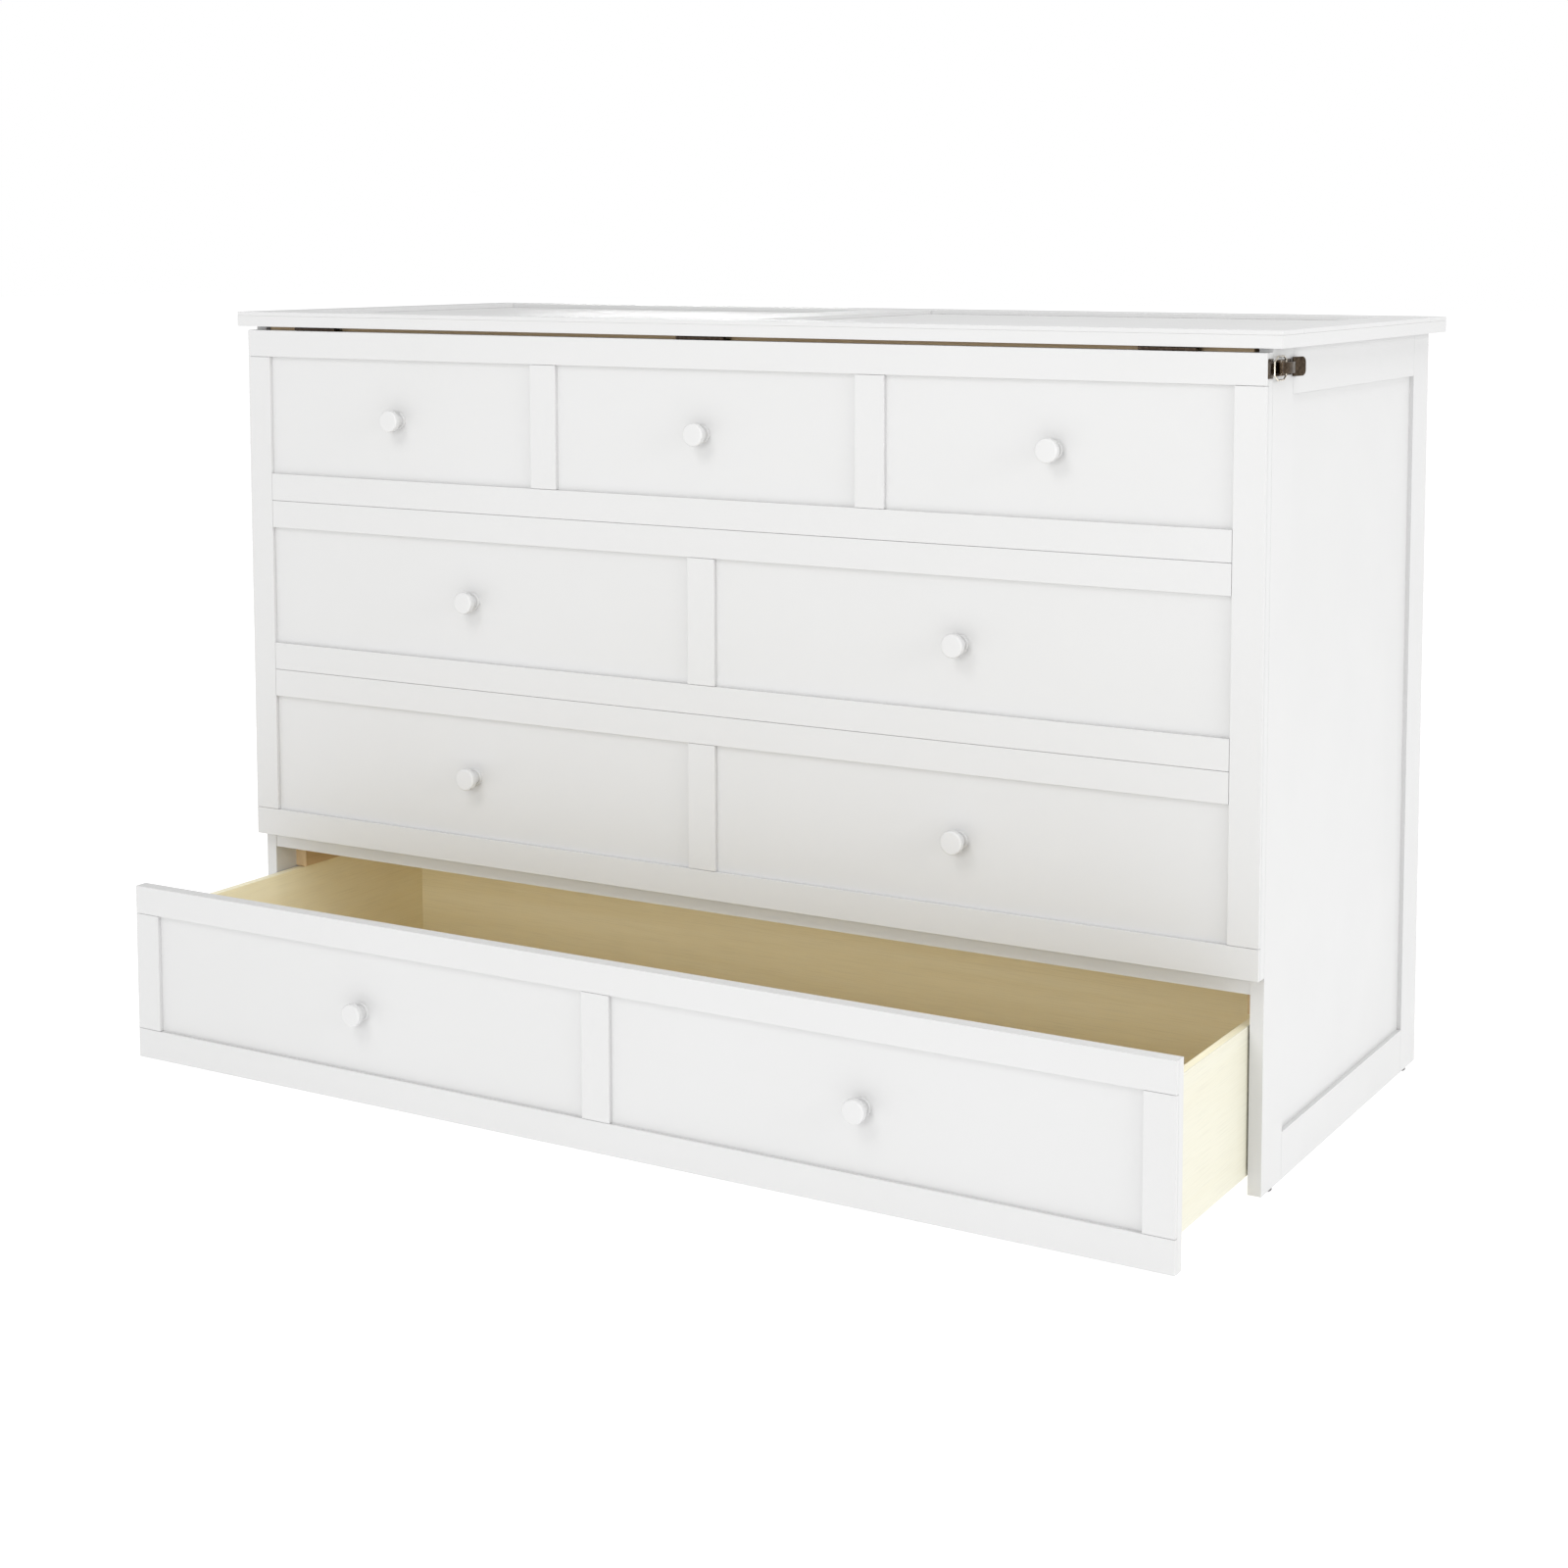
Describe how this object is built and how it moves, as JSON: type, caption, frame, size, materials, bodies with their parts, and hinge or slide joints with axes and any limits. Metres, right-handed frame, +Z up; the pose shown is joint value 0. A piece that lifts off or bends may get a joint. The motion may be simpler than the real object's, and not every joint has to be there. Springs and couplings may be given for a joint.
{
  "type": "cabinet murphy bed",
  "caption": "White cabinet murphy bed: a dresser-look front and lid unfold forward into a platform, over a full-width storage drawer.",
  "frame": {"origin": "on the floor, at the middle of the whole part's footprint with the drawer pulled out as modelled", "axes": "+Z up, the front with the knobs faces -Y, +X points to the viewer's right seen from the front"},
  "size_m": [1.669, 0.95, 1.088],
  "materials": {
    "white_paint": "satin",
    "knob_paint": "satin",
    "pale_wood": "satin",
    "drawer_wood": "satin",
    "dark_bronze": "satin",
    "latch_bronze": "satin",
    "pale_nickel": "satin",
    "zinc_steel": "satin",
    "grey_plastic": "matte",
    "dark_rubber": "matte",
    "mattress_fabric": "matte"
  },
  "bodies": {
    "cabinet": {"left_side_frame": "white_paint", "right_side_frame": "white_paint", "left_side_panel": "white_paint", "right_side_panel": "white_paint", "back_panel": "white_paint", "back_rails": "white_paint", "front_rail": "white_paint", "side_ledgers": "pale_wood", "centre_beams": "pale_wood", "deck_slats": "pale_wood", "floor_glides": "grey_plastic", "base_hinge_leaves": "dark_bronze", "base_hinge_pins": "dark_bronze", "cabinet_screws": "dark_bronze", "latch_bases": "latch_bronze", "latch_pins": "pale_nickel", "mattress_front_section": "mattress_fabric", "mattress_middle_section": "mattress_fabric", "mattress_rear_section": "mattress_fabric"},
    "folding_front": {"front_board": "white_paint", "front_rails": "white_paint", "front_stiles": "white_paint", "front_mullions": "white_paint", "front_knobs": "knob_paint", "front_knob_screws": "zinc_steel", "panel_hinge_leaves": "dark_bronze", "lid_hinge_lower_leaves": "dark_bronze", "lid_hinge_pins": "dark_bronze", "front_screws": "dark_bronze", "strike_plates": "latch_bronze"},
    "lid": {"lid_board": "white_paint", "lid_frame": "white_paint", "lid_slats": "pale_wood", "lid_hinge_upper_leaves": "dark_bronze", "leg_hinge_upper_leaves": "dark_bronze", "leg_hinge_pins": "dark_bronze", "lid_screws": "dark_bronze"},
    "foot_leg": {"leg_board": "white_paint", "leg_hinge_lower_leaves": "dark_bronze", "leg_screws": "dark_bronze", "leg_glides": "grey_plastic"},
    "drawer": {"drawer_front_board": "white_paint", "drawer_front_frame": "white_paint", "drawer_sides": "drawer_wood", "drawer_box_front": "drawer_wood", "drawer_back": "drawer_wood", "drawer_bottom": "drawer_wood", "drawer_knobs": "knob_paint", "drawer_knob_screws": "zinc_steel", "caster_brackets": "zinc_steel", "caster_axles": "zinc_steel"},
    "latch_lever_left": {"latch_lever_left": "latch_bronze"},
    "latch_lever_right": {"latch_lever_right": "latch_bronze"},
    "latch_bail_left": {"latch_bail_left": "pale_nickel"},
    "latch_bail_right": {"latch_bail_right": "pale_nickel"},
    "caster_wheel_front_left": {"caster_wheel_front_left": "dark_rubber"},
    "caster_wheel_front_right": {"caster_wheel_front_right": "dark_rubber"},
    "caster_wheel_rear_left": {"caster_wheel_rear_left": "dark_rubber"},
    "caster_wheel_rear_right": {"caster_wheel_rear_right": "dark_rubber"}
  },
  "joints": [
    {"name": "front_fold", "type": "hinge", "parent": "cabinet", "child": "folding_front", "pos_m": [0, -0.1756, 0.284], "axis": [1, 0, 0], "range_deg": [0, 90]},
    {"name": "lid_fold", "type": "hinge", "parent": "folding_front", "child": "lid", "pos_m": [0, -0.1936, 1.06325], "axis": [1, 0, 0], "range_deg": [0, 90]},
    {"name": "leg_fold", "type": "hinge", "parent": "lid", "child": "foot_leg", "pos_m": [0, 0.4726, 1.063], "axis": [1, 0, 0], "range_deg": [0, 180]},
    {"name": "drawer_slide", "type": "slide", "parent": "cabinet", "child": "drawer", "axis": [0, -1, 0], "range_m": [-0.259, 0.3]},
    {"name": "wheel_roll_front_left", "type": "hinge", "parent": "drawer", "child": "caster_wheel_front_left", "pos_m": [-0.56, -0.3546, 0.014], "axis": [1, 0, 0], "range_deg": [-1080, 1260]},
    {"name": "wheel_roll_front_right", "type": "hinge", "parent": "drawer", "child": "caster_wheel_front_right", "pos_m": [0.56, -0.3546, 0.014], "axis": [1, 0, 0], "range_deg": [-1080, 1260]},
    {"name": "wheel_roll_rear_left", "type": "hinge", "parent": "drawer", "child": "caster_wheel_rear_left", "pos_m": [-0.56, 0.0854, 0.014], "axis": [1, 0, 0], "range_deg": [-1080, 1260]},
    {"name": "wheel_roll_rear_right", "type": "hinge", "parent": "drawer", "child": "caster_wheel_rear_right", "pos_m": [0.56, 0.0854, 0.014], "axis": [1, 0, 0], "range_deg": [-1080, 1260]},
    {"name": "latch_left", "type": "hinge", "parent": "cabinet", "child": "latch_lever_left", "pos_m": [-0.8205, -0.1636, 1.041], "axis": [0, 0, 1], "range_deg": [0, 100]},
    {"name": "bail_left", "type": "hinge", "parent": "latch_lever_left", "child": "latch_bail_left", "pos_m": [-0.8205, -0.1456, 1.041], "axis": [0, 0, 1], "range_deg": [-100, 0]},
    {"name": "latch_right", "type": "hinge", "parent": "cabinet", "child": "latch_lever_right", "pos_m": [0.8205, -0.1636, 1.041], "axis": [0, 0, -1], "range_deg": [0, 100]},
    {"name": "bail_right", "type": "hinge", "parent": "latch_lever_right", "child": "latch_bail_right", "pos_m": [0.8205, -0.1456, 1.041], "axis": [0, 0, -1], "range_deg": [-100, 0]}
  ],
  "couplings": [
    {"joint": "wheel_roll_front_left", "follows": "drawer_slide", "rad_per_m": 71.429},
    {"joint": "wheel_roll_front_right", "follows": "drawer_slide", "rad_per_m": 71.429},
    {"joint": "wheel_roll_rear_left", "follows": "drawer_slide", "rad_per_m": 71.429},
    {"joint": "wheel_roll_rear_right", "follows": "drawer_slide", "rad_per_m": 71.429},
    {"joint": "bail_left", "follows": "latch_left", "ratio": -1},
    {"joint": "bail_right", "follows": "latch_right", "ratio": -1}
  ]
}
